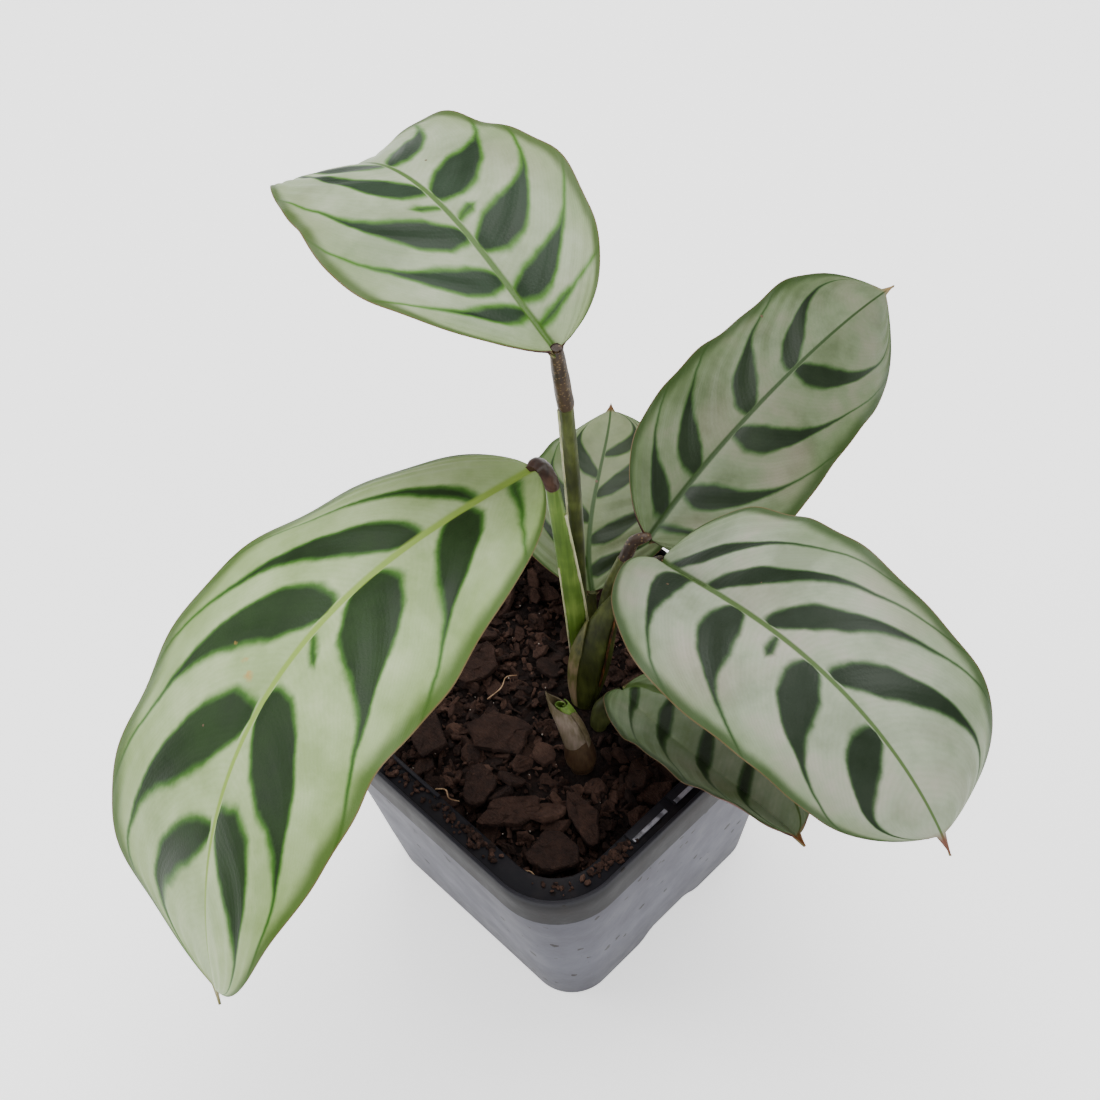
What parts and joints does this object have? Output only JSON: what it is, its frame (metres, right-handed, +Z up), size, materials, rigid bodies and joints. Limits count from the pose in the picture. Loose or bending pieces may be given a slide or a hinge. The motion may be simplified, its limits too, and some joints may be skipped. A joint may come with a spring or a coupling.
{
  "type": "potted ctenanthe",
  "caption": "Young ctenanthe in a square nursery pot: feather-marked leaves on upright stalks with a new shoot, rooted in bark compost.",
  "frame": {"origin": "centre of the pot's base, on the surface it stands on", "axes": "+Z up; X and Y square to the pot's sides; the label holder is on the +X side, and the long drooping leaf hangs towards -Y"},
  "size_m": [0.1332, 0.1755, 0.1531],
  "materials": {
    "pot_plastic": "thin translucent smoke-grey moulded plastic with specks of dirt",
    "compost": "coarse brown bark and peat crumbs",
    "bark": "flat chips of composted bark, matt",
    "sheath": "smooth olive green stalk skin",
    "pulvinus": "brown speckled leaf joint",
    "scale_leaf": "brown purple scale leaf",
    "young_leaf": "smooth bright green",
    "leaf_blade": "satin leaf, silver green with dark green feather marks"
  },
  "bodies": {
    "root": {"pot": "pot_plastic", "substrate": "compost", "bark_chip_1": "bark", "bark_chip_2": "bark", "bark_chip_3": "bark", "bark_chip_4": "bark", "bark_chip_5": "bark", "bark_chip_6": "bark", "bark_chip_7": "bark", "bark_chip_8": "bark", "bark_chip_9": "bark", "sheath_main": "sheath", "sheath_low": "sheath", "petiole_top": "sheath", "pulvinus_top": "pulvinus", "petiole_front": "young_leaf", "pulvinus_front": "pulvinus", "petiole_back": "sheath", "pulvinus_back": "pulvinus", "petiole_side": "sheath", "pulvinus_side": "pulvinus", "petiole_hind": "sheath", "shoot_scale": "scale_leaf", "shoot_sheath": "sheath", "shoot_leaf": "young_leaf", "leaf_top": "leaf_blade", "leaf_front": "leaf_blade", "leaf_back": "leaf_blade", "leaf_side": "leaf_blade", "leaf_low": "leaf_blade", "leaf_hind": "leaf_blade"}
  },
  "joints": []
}
